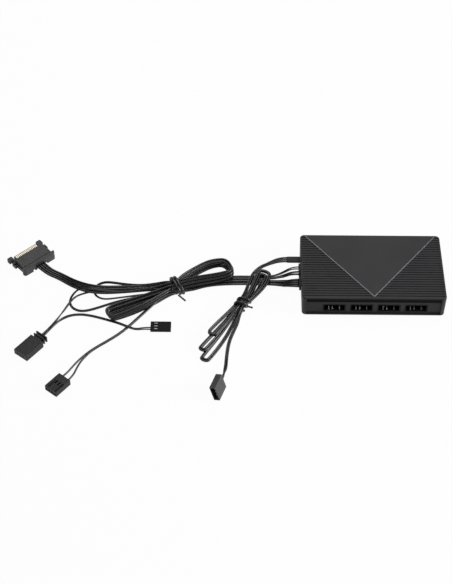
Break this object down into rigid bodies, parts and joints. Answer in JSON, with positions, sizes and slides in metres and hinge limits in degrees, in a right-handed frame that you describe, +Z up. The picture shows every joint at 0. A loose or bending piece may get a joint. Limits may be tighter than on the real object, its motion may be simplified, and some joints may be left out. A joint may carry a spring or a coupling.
{
  "type": "argb fan controller",
  "caption": "Flat ribbed box with a smooth V panel and a row of fan sockets along its front, with tied flat cables to power, fan header and light connectors.",
  "frame": {"origin": "middle of the box's underside, on the surface it lies on", "axes": "+X along the box to its right end, away from the cables; +Y to its back, so the fan sockets face -Y; +Z up"},
  "size_m": [0.3145, 0.1483, 0.0174],
  "materials": {
    "case_black": "fine moulded texture",
    "base_black": "fine moulded texture",
    "accent_silver": "thin silver inlay",
    "screw_steel": "blackened steel",
    "board_green": "solder mask",
    "package_black": "moulded epoxy",
    "can_metal": "plain can",
    "socket_black": "moulded nylon",
    "pin_metal": "plated pin",
    "plug_black": "moulded nylon",
    "connector_grey": "moulded nylon",
    "contact_gold": "gold flash",
    "cable_black": "satin insulation",
    "tie_black": "coated wire"
  },
  "bodies": {
    "root": {"top_cover": "case_black", "base_plate": "base_black", "accent_line": "accent_silver", "case_screws": "screw_steel", "circuit_board": "board_green", "controller_chip": "package_black", "voltage_regulator": "package_black", "fan_drivers": "package_black", "input_capacitor": "can_metal", "fan_socket_1": "socket_black", "fan_socket_2": "socket_black", "fan_socket_3": "socket_black", "fan_socket_4": "socket_black", "argb_socket": "socket_black", "signal_socket": "socket_black", "power_socket": "socket_black", "fan_pins_1": "pin_metal", "fan_pins_2": "pin_metal", "fan_pins_3": "pin_metal", "fan_pins_4": "pin_metal", "argb_pins": "pin_metal", "signal_pins": "pin_metal", "power_pins": "pin_metal", "strip_connector_pins": "pin_metal", "three_pin_contacts": "pin_metal", "argb_plug": "plug_black", "signal_plug": "plug_black", "power_plug": "plug_black", "fan_connector": "plug_black", "sync_connector": "plug_black", "three_pin_connector": "plug_black", "power_connector_cap": "connector_grey", "power_connector_shell": "connector_grey", "strip_connector": "connector_grey", "power_connector_contacts": "contact_gold", "power_cable_lead": "cable_black", "fan_cable_lead": "cable_black", "sync_cable_lead": "cable_black", "light_cable_lead": "cable_black", "power_cable_tail": "cable_black", "fan_cable_tail": "cable_black", "sync_cable_tail": "cable_black", "light_cable_tail": "cable_black", "sync_loop_small": "cable_black", "sync_loop_big": "cable_black", "sync_branch": "cable_black", "main_hank": "cable_black", "light_hank": "cable_black", "main_tie": "tie_black", "light_tie": "tie_black"}
  },
  "joints": []
}
